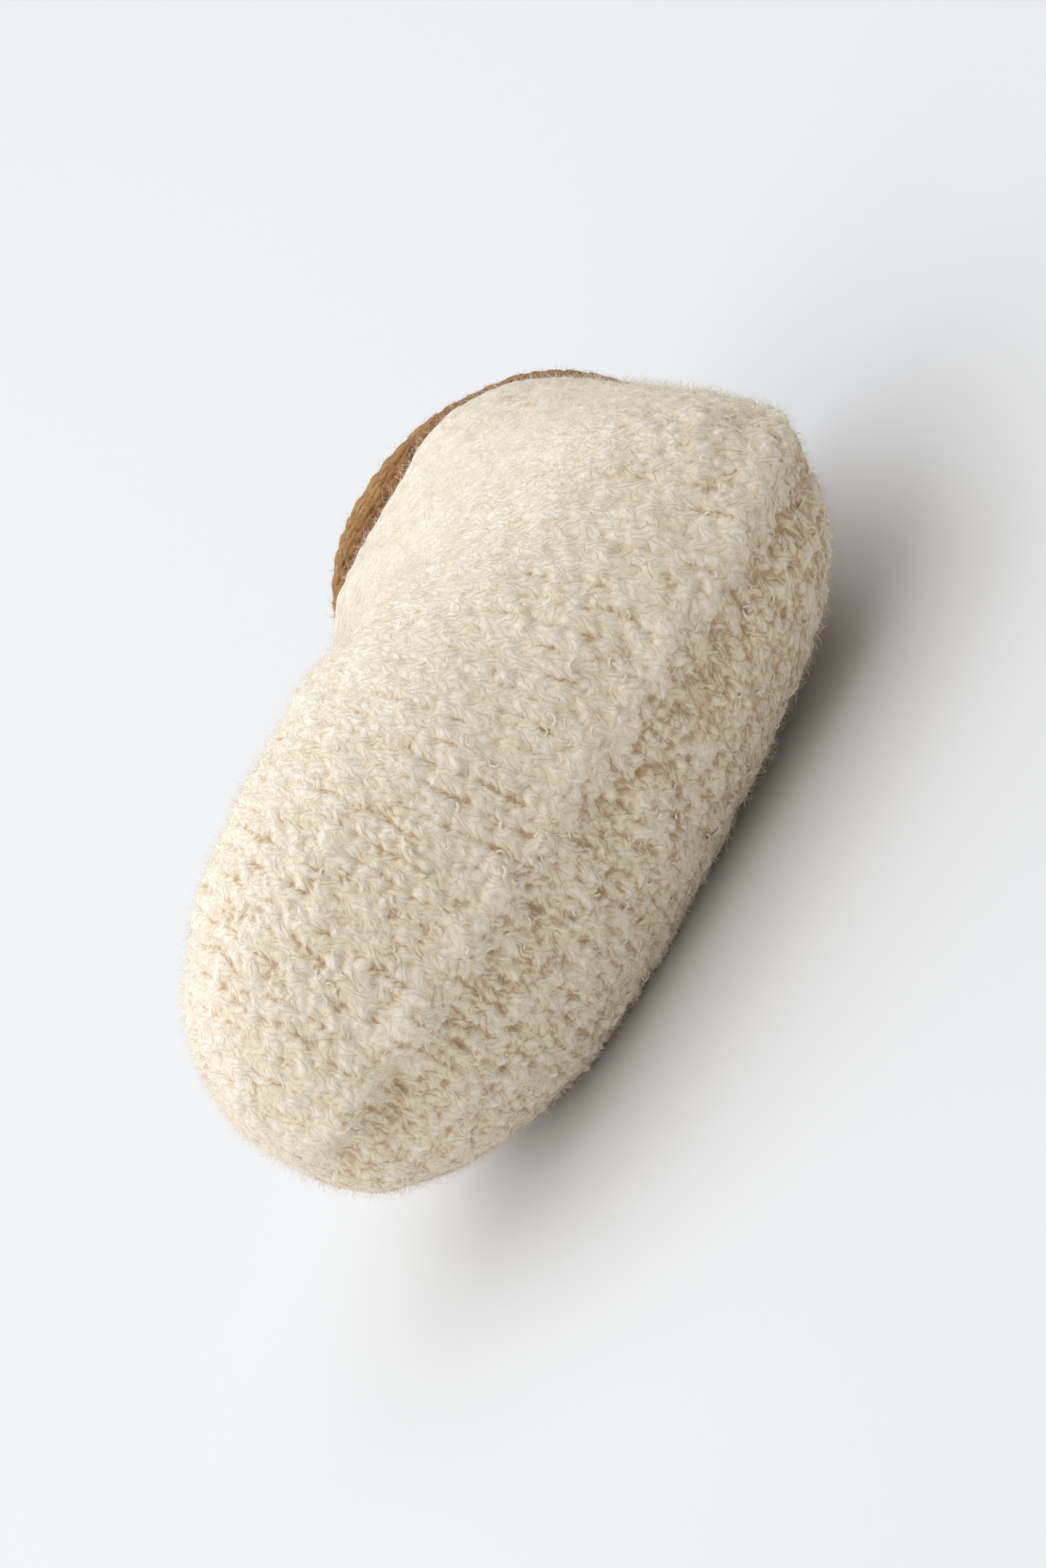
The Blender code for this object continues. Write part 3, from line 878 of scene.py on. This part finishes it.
# Each curl is paler on top and darker beneath and at its sunk points: painted light and shade.
curl_top = np.concatenate([np.tile(np.sin(curl_angle), len(CURL_PROFILE)), [CURL_POINT_SHADE_LEVEL] * 2])
curl_pale = CURL_PALE + CURL_PAINTED_LIGHT_ON_TOP * curl_top + curl_random.normal(0, CURL_PALE_SPREAD, (CURL_COUNT, 1))
float_attribute(curls, "puff", np.clip(curl_pale, 0, 1))
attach(curls, "root")


# The collar band: a narrow brown knitted band round the opening, its rows of stitches running along
# it. It stands on the foot's rim and is a little softer and fuzzier than the foot. It is drawn
# in at two places on the left side, given as the rim's are.
BAND_HEIGHT = 8.0
BAND_WALL = 2.4
BAND_INSET = 0.5
BAND_GAP = 0.3
BAND_CROWN = 0.7
BAND_FORWARD_AT_HEEL = 0.2
BAND_BACK_AT_THROAT = 1.4
BAND_DRAWN_IN = (
    (60.5, 6.0, 1.2),
    (23.0, 5.0, 0.4),
)
RIM_FOLLOWED = 1.5
BAND_ROWS = 26
BAND_INNER_ROWS = 12
BAND_TOP_ROWS = 6
BAND_COLUMNS = 480
BAND_EDGE_HEIGHT = 0.8
BAND_STITCH_ROWS = 3.5
BAND_STITCHES = 62
BAND_STEADY_TO, BAND_STEADY_FROM = 0.3, 5.9
BAND_ROW_WANDER = (0.15, 4.0, 11)
BAND_STITCH_WANDER = (0.3, 3.0, 12)
BAND_FLUFF = (0.25, 1.2, 13)
BAND_INNER_DENTS = (0.20, 1.6, 17)
BAND_INNER_PATCHES = (0.30, 1.6, 18)
BAND_INNER_PALE = 0.45
BAND_RELIEF = 0.75
BAND_RELIEF_MIDDLE = 0.4
BAND_LEG_ROUNDNESS = 0.7
BAND_LEG_ENDS = 0.45
BAND_FOOT_PAINTED_SHADE, BAND_FOOT_TO = 0.25, 0.55
# The brown's gap colour is painted shade in the band's dips.
BROWN_GAP = (0.07, 0.035, 0.014)
BROWN_BODY = (0.29, 0.14, 0.045)
BROWN_PUFF = (0.46, 0.26, 0.105)
BROWN_SHEEN = 0.1
brown_wool = wool_material("brown_wool", BROWN_GAP, BROWN_BODY, BROWN_PUFF, BROWN_SHEEN)
band_in = drawn_in(BAND_DRAWN_IN)


def band_points(share, turn):
    """The smooth outside of the band, from its foot (share 0) to its upper edge (share 1)."""
    rim = section_at(np.full_like(share, RIM))
    rim_turn = foot_turn[-1, SEAM_COLUMN:]
    lift = BAND_GAP + BAND_HEIGHT * share
    inset = BAND_INSET - BAND_CROWN * np.sin(math.pi * share)
    inset = inset + np.interp(turn, rim_turn, rim_in[SEAM_COLUMN:]) * (1 - share) ** RIM_FOLLOWED
    inset = inset + np.interp(turn, rim_turn, band_in[SEAM_COLUMN:])
    section = dict(rim)
    section["sole_x"] = rim["sole_x"] + inset + BAND_FORWARD_AT_HEEL * share
    section["sole_z"] = rim["sole_z"] + lift
    section["top_x"] = rim["top_x"] - inset - BAND_BACK_AT_THROAT * share
    section["top_z"] = rim["top_z"] + lift
    section["half_width"] = rim["half_width"] - inset
    section["pinch"] = rim["pinch"] * (1 - share)
    return section_points(section, turn, SEAM_HEIGHT * (1 - share))


band_share = np.linspace(0, 1, BAND_ROWS)[:, None]
band_turn = np.linspace(0, FULL_TURN, BAND_COLUMNS)[None, :]
smooth_band = lay_down(band_points(band_share + 0 * band_turn, band_turn + 0 * band_share)) + FOOT_PLACE
band_normal = smooth_normals(smooth_band)
band_normal[0] = band_normal[1]
stitch_row = band_share * BAND_STITCH_ROWS + lumps(smooth_band, *BAND_ROW_WANDER)
away_from_heel = (band_turn > BAND_STEADY_TO) * (band_turn < BAND_STEADY_FROM)
stitch_run = band_turn / FULL_TURN * BAND_STITCHES + lumps(smooth_band, *BAND_STITCH_WANDER) * away_from_heel
row_leg = np.abs(stitch_row - np.round(stitch_row)) * 2
row_phase = stitch_run + row_leg
row_along = (row_phase - np.floor(row_phase)) * 2 - 1
# The band's tone follows its stitches: paler on each leg, darker at its sides and ends, painted shade in the
# dips; the relief follows the tone.
band_puff = np.clip(1 - (2 * row_leg - 1) ** 2, 0, 1) ** BAND_LEG_ROUNDNESS
band_puff = band_puff * (BAND_LEG_ENDS + (1 - BAND_LEG_ENDS) * np.clip(1 - row_along ** 2, 0, 1))
band_puff = np.clip(band_puff + lumps(smooth_band, *BAND_FLUFF), 0, 1)
# Darker towards the band's foot: painted shade where the cream rim overhangs it.
band_puff = band_puff * (BAND_FOOT_PAINTED_SHADE + (1 - BAND_FOOT_PAINTED_SHADE) * share_of(band_share, BAND_FOOT_TO))
band_relief = BAND_RELIEF * (band_puff - BAND_RELIEF_MIDDLE)
outer_band = smooth_band + band_normal * band_relief[..., None] * MM
edge_share = np.linspace(0, 1, BAND_TOP_ROWS + 2)[1:-1, None, None]
band_edge = outer_band[-1] - band_normal[-1] * BAND_WALL * MM * edge_share
band_edge = band_edge + way_up(smooth_band) * BAND_EDGE_HEIGHT * MM * np.sin(math.pi * edge_share)
inner_rows = np.linspace(BAND_ROWS - 1, 0, BAND_INNER_ROWS).round().astype(int)
inner_depth = BAND_WALL + lumps(smooth_band[inner_rows], *BAND_INNER_DENTS)
inner_band = smooth_band[inner_rows] - band_normal[inner_rows] * inner_depth[..., None] * MM
band_rows = np.concatenate([outer_band, band_edge, inner_band, outer_band[:1]])
band_rows[..., 2] = np.maximum(band_rows[..., 2], 0)
inner_pale = BAND_INNER_PALE + lumps(np.concatenate([band_edge, inner_band]), *BAND_INNER_PATCHES)
band_puffs = np.concatenate([band_puff, np.clip(inner_pale, 0, 1), band_puff[:1]])
band_faces = [grid_quads(len(band_rows), BAND_COLUMNS, 0)]
band_wool = mesh_piece("collar_band_wool", band_rows.reshape(-1, 3), band_faces, brown_wool)
float_attribute(band_wool, "puff", band_puffs)
close_poles(band_wool)
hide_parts("collar_band")
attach(band_wool, "root")


# The fuzz: fine wool fibres worked loose from the yarn. Most lie along the stitch legs and over the
# creases, and some stand out at the edges. Each is a tapering ribbon of a few faces, rooted in the knit.
FIBRE_LEAST_HEIGHT = 0.00005
FIBRE_ROOT = 0.04
FIBRE_BEND = 0.95
FIBRE_TWIST = 0.35
FIBRE_TAPER = 0.5
FIBRE_PALE_SPREAD = 0.15
FIBRE_ROUGHNESS = 0.9


def fibres(name, count, steps, length, spread, lift, width, paler, material, seed):
    """One mesh of many curved fibres that lie over the foot's stitches, each from a random place."""
    random = np.random.default_rng(seed)
    row, column = random_places(smooth_foot, count, random)
    # Each fibre takes the paleness of the knit at its root, with its painted light and shade.
    tone = blend_grid(puff_share, row, column) + random.normal(paler, FIBRE_PALE_SPREAD, count)
    wale = np.interp(row, np.arange(FOOT_ROWS), sole_line) / WALE_WIDTH
    hand = np.where(wale - np.floor(wale) < 0.5, 1.0, -1.0)
    angle = hand * np.radians(LEG_TURN) + np.radians(random.normal(0, spread, count))
    angle = angle + math.pi * (random.random(count) < 0.5)
    bend = random.normal(0, FIBRE_BEND, count)
    step = random.uniform(*length, count) / steps
    half = random.uniform(*width, count) * MM / 2
    rise = random.uniform(*lift, count)
    twist = random.normal(0, FIBRE_TWIST, (count, 1))
    lines, sides = [], []
    for k in range(steps + 1):
        share = k / steps
        inner_row, inner_column = np.clip(row, 0, FOOT_ROWS - 1.001), np.mod(column, FOOT_COLUMNS - 1)
        normal = unit(blend_grid(foot_normal, inner_row, inner_column))
        way = unit(blend_grid(foot_round, inner_row, inner_column))
        aside = np.cross(normal, way)
        high = FIBRE_ROOT + rise * share * (1.6 - 0.6 * share)
        lines.append(blend_grid(outer_foot, inner_row, inner_column) + normal * high[:, None] * MM)
        sides.append(unit(aside * np.cos(angle)[:, None] - way * np.sin(angle)[:, None] + normal * twist))
        row_there = np.maximum(blend_grid(row_step, inner_row, inner_column), LEAST_ROW_STEP)
        column = column + step * np.cos(angle) / blend_grid(column_step, inner_row, inner_column)
        row = row + step * np.sin(angle) / row_there
        angle = angle + bend
    points = []
    for k in range(steps):
        reach = sides[k] * (half * (1 - FIBRE_TAPER * k / steps))[:, None]
        points += [lines[k] - reach, lines[k] + reach]
    points = np.stack([*points, lines[-1]], 1)
    points[..., 2] = np.maximum(points[..., 2], FIBRE_LEAST_HEIGHT)
    quads = np.array([(2 * k, 2 * k + 1, 2 * k + 3, 2 * k + 2) for k in range(steps - 1)])
    tip = np.array([(2 * steps - 2, 2 * steps - 1, 2 * steps)])
    piece = mesh_piece(name, points.reshape(-1, 3), many([quads, tip], count, points.shape[1]), material)
    float_attribute(piece, "puff", np.repeat(np.clip(tone, 0, 1), points.shape[1]))
    return piece


BAND_FIBRE_COUNT = 10000
BAND_FIBRE_STEPS = 3
BAND_FIBRE_LENGTH = (0.5, 1.3)
BAND_FIBRE_LIFT = (5, 35)
BAND_FIBRE_WIDTH = (0.02, 0.05)
BAND_FIBRE_BEND = 0.6
BAND_FIBRE_TAPER = 0.85
BAND_FIBRE_PALER = 0.10


def band_fibres(name, material, seed):
    """One mesh of many curved fibres, each rooted at a random place of the band."""
    random = np.random.default_rng(seed)
    count = BAND_FIBRE_COUNT
    normals = smooth_normals(band_rows)
    normals[0] = band_normal[0]
    row, column = random_places(band_rows, count, random)
    share_row, share_column = np.mod(row, 1)[:, None], np.mod(column, 1)[:, None]
    row, column = row.astype(int), column.astype(int)
    corner = band_rows[row, column]
    root = corner + (band_rows[row + 1, column] - corner) * share_row
    root = root + (band_rows[row, column + 1] - corner) * share_column
    normal = normals[row, column]
    tangent = unit(np.cross(normal, random.normal(size=(count, 3))))
    side = np.cross(normal, tangent)
    bend = random.normal(0, BAND_FIBRE_BEND, (count, 1))
    twist = random.uniform(-1, 1, (count, 1))
    size = random.uniform(*BAND_FIBRE_LENGTH, (count, 1)) * MM
    rise = np.tan(np.radians(random.uniform(*BAND_FIBRE_LIFT, (count, 1))))
    half = random.uniform(*BAND_FIBRE_WIDTH, (count, 1)) * MM / 2
    across = unit(side + normal * twist)
    points = []
    for step in range(BAND_FIBRE_STEPS + 1):
        share = step / BAND_FIBRE_STEPS
        curve = tangent * share + side * bend * share ** 2 + normal * rise * share * (1.3 - 0.5 * share)
        reach = across * half * (1 - BAND_FIBRE_TAPER * share)
        points += [root + size * curve - reach, root + size * curve + reach]
    points = np.stack(points, 1)
    points[..., 2] = np.maximum(points[..., 2], FIBRE_LEAST_HEIGHT)
    quads = np.array([(2 * k, 2 * k + 1, 2 * k + 3, 2 * k + 2) for k in range(BAND_FIBRE_STEPS)])
    piece = mesh_piece(name, points.reshape(-1, 3), many([quads], count, points.shape[1]), material)
    # Each fibre takes the band's tone at its root, painted shade included.
    tone = band_puffs[row, column] + random.normal(BAND_FIBRE_PALER, FIBRE_PALE_SPREAD, count)
    float_attribute(piece, "puff", np.repeat(np.clip(tone, 0, 1), points.shape[1]))
    return piece


def fibre_material(name, gap, body, puff, sheen):
    """Loose wool fibre: matt, paler on the puffs and darker where rooted in a crease, painted light and
    shade.
    """
    material = matt_wool(name, FIBRE_ROUGHNESS, sheen)
    colour_wool(material, attribute_node(material, "puff").outputs["Fac"], gap, body, puff)
    return material


# Fibres of the foot: how many, how many steps long, length in millimetres, spread from the legs' way in
# degrees, how far the tip stands off and the width in millimetres, how much paler, and a seed.
# The standing fibres are made much paler: painted light on the fuzz that stands out at the edges.
FOOT_FIBRES = (
    ("along", 42000, 2, (0.30, 0.70), 60.0, (0.0, 0.20), (0.035, 0.06), 0.12, 21),
    ("over", 46000, 2, (0.35, 0.80), 90.0, (0.05, 0.40), (0.03, 0.05), 0.12, 24),
    ("standing", 38000, 3, (0.8, 1.9), 90.0, (0.4, 1.5), (0.03, 0.055), 0.40, 22),
)
cream_fibre = fibre_material("cream_fibre", CREAM_GAP, CREAM_BODY, CREAM_PUFF, CREAM_SHEEN)
brown_fibre = fibre_material("brown_fibre", BROWN_GAP, BROWN_BODY, BROWN_PUFF, BROWN_SHEEN)
for label, count, steps, length, spread, lift, width, paler, seed in FOOT_FIBRES:
    fuzz = fibres(f"foot_fuzz_{label}", count, steps, length, spread, lift, width, paler, cream_fibre, seed)
    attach(fuzz, "root")
band_fuzz = band_fibres("band_fuzz", brown_fibre, 23)
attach(band_fuzz, "root")


# The floor: a plain pale sheet of matt paper, large enough to fill every view. It lies at the height
# of the bootie's resting side and is no part of it.
FLOOR_SIZE = 6
FLOOR_GREY = 0.715
bpy.ops.object.select_all(action="DESELECT")
bpy.ops.mesh.primitive_plane_add(size=FLOOR_SIZE, location=(0, 0, 0))
floor = bpy.context.object
floor.name = "floor"
floor_paint = bpy.data.materials.new("floor_paper")
floor_paint.use_nodes = True
floor_shader = floor_paint.node_tree.nodes["Principled BSDF"]
floor_shader.inputs["Base Color"].default_value = (FLOOR_GREY, FLOOR_GREY, FLOOR_GREY, 1)
floor_shader.inputs["Roughness"].default_value = 0.9
floor.data.materials.append(floor_paint)


# The light: a large cool window behind the opening, towards the toe, a soft light overhead, a smaller
# one before the sole, also towards the toe, a low weak one that lifts the shadow side, and an even pale
# surround. Each lamp has a place, an aim and a size in metres, a power in watts and a colour.
LAMPS = (
    ("window_lamp", (-0.60, 0.72, 0.66), (0, 0, 0.03), 1.5, 11.2, (0.88, 0.93, 1.0)),
    ("overhead_lamp", (0.25, 0.15, 1.05), (0, 0, 0.03), 1.4, 9.6, (0.95, 0.97, 1.0)),
    ("front_lamp", (-0.68, -0.42, 0.74), (0, 0, 0.03), 1.0, 5.2, (1.0, 0.985, 0.96)),
    ("low_lamp", (0.50, -0.80, 0.22), (0, 0, 0.01), 0.7, 0.35, (1.0, 0.99, 0.97)),
)
SURROUND_COLOUR = (1.0, 0.98, 0.95, 1)
SURROUND_STRENGTH = 0.19


def soft_lamp(name, place, aim, size, power, colour):
    """A square area lamp that faces a point."""
    data = bpy.data.lights.new(name, "AREA")
    data.size = size
    data.energy = power
    data.color = colour
    lamp = bpy.data.objects.new(name, data)
    bpy.context.scene.collection.objects.link(lamp)
    lamp.location = place
    lamp.rotation_mode = "QUATERNION"
    lamp.rotation_quaternion = (Vector(aim) - Vector(place)).to_track_quat("-Z", "Y")


for lamp in LAMPS:
    soft_lamp(*lamp)
surround = bpy.data.worlds.new("pale_surround")
surround.use_nodes = True
surround.node_tree.nodes["Background"].inputs["Color"].default_value = SURROUND_COLOUR
surround.node_tree.nodes["Background"].inputs["Strength"].default_value = SURROUND_STRENGTH
bpy.context.scene.world = surround
bpy.context.scene.view_settings.view_transform = "Standard"


# The camera: it looks at the sole from the front, a little from above, turned about its own axis so
# that the toe points to the lower left of the picture. Pixels are those of the photo.
PHOTO_WIDTH, PHOTO_HEIGHT = 1440, 2159
PIXELS_PER_MM = 11.4
VIEW_DISTANCE = 0.75
VIEW_TILT = math.radians(20)
TOE_RIGHT, TOE_UP = -0.527, -0.85
AIM_IN_SHOE = (55.0, 0.0, 18.0)
AIM_PIXEL = (715, 1081)
elevation = VIEW_TILT + LEAN
to_camera = np.array([0, -math.cos(elevation), math.sin(elevation)])
toe_way = np.array([-1.0, 0, 0])
left_way = np.array([0, math.sin(elevation), math.cos(elevation)])
picture_right = TOE_RIGHT * toe_way + TOE_UP * left_way
picture_up = TOE_UP * toe_way - TOE_RIGHT * left_way
aim = lay_down(np.array(AIM_IN_SHOE)) + FOOT_PLACE
aim = aim + picture_right * (PHOTO_WIDTH / 2 - AIM_PIXEL[0]) / PIXELS_PER_MM * MM
aim = aim - picture_up * (PHOTO_HEIGHT / 2 - AIM_PIXEL[1]) / PIXELS_PER_MM * MM
camera_data = bpy.data.cameras.new("camera")
camera_data.lens = camera_data.sensor_width * VIEW_DISTANCE / (PHOTO_HEIGHT / PIXELS_PER_MM * MM)
camera_data.clip_start = 0.01
camera = bpy.data.objects.new("camera", camera_data)
bpy.context.scene.collection.objects.link(camera)
place = aim + to_camera * VIEW_DISTANCE
camera.matrix_world = Matrix(
    [(picture_right[k], picture_up[k], to_camera[k], place[k]) for k in range(3)] + [(0, 0, 0, 1)]
)
bpy.context.scene.camera = camera
